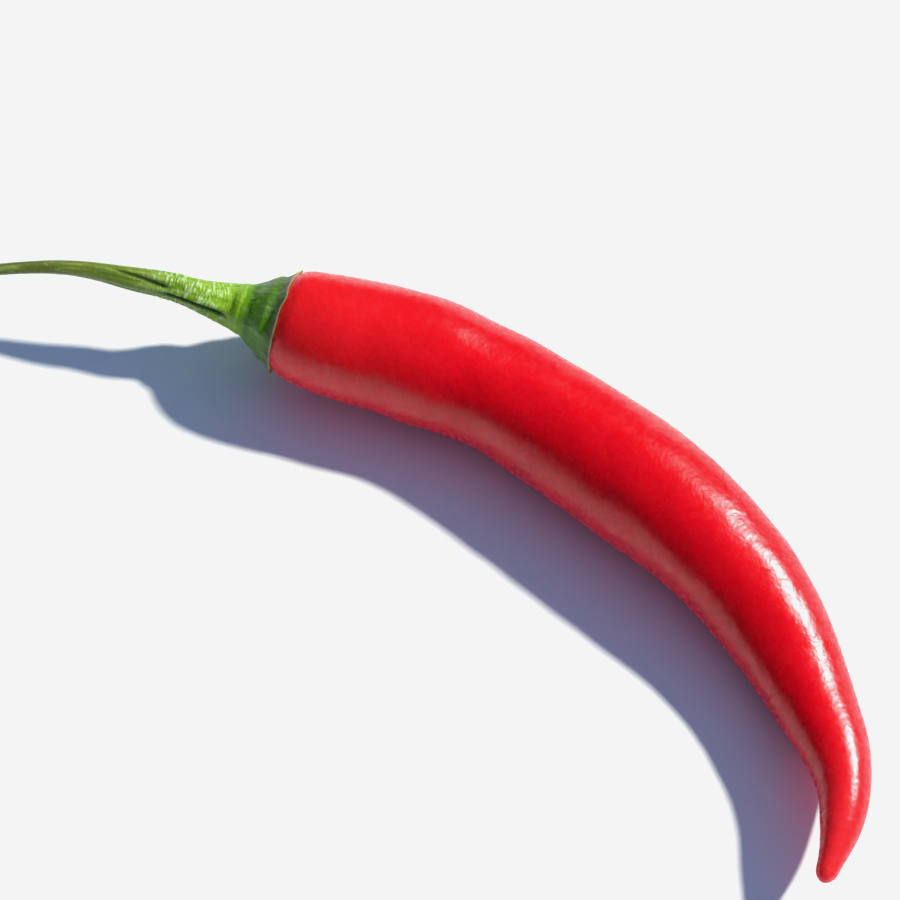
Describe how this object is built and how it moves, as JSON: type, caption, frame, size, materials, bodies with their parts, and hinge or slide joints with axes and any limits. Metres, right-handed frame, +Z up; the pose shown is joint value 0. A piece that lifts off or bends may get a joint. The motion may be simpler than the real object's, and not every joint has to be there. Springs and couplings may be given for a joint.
{
  "type": "chilli pepper",
  "caption": "Long curved red chilli pepper with a green calyx and a thin stem, lying as picked on its belly and the end of its stem.",
  "frame": {"origin": "on the surface the chilli lies on, under the centre of its bounding box", "axes": "+X from the stem's cut end towards the pod's tip, +Y towards the outside of the pod's bend, +Z up"},
  "size_m": [0.1722, 0.0494, 0.0211],
  "materials": {
    "pod_skin": "smooth waxy bright red skin with a sharp gloss over a faintly mottled surface",
    "calyx_green": "dark leaf green with greyish bloom, fine veins and a pale dry edge",
    "stem_green": "bright yellow-green where it flares, olive towards the cut end, with long ribs and fine wrinkles"
  },
  "bodies": {
    "root": {"pod": "pod_skin", "calyx": "calyx_green", "stem": "stem_green"}
  },
  "joints": []
}
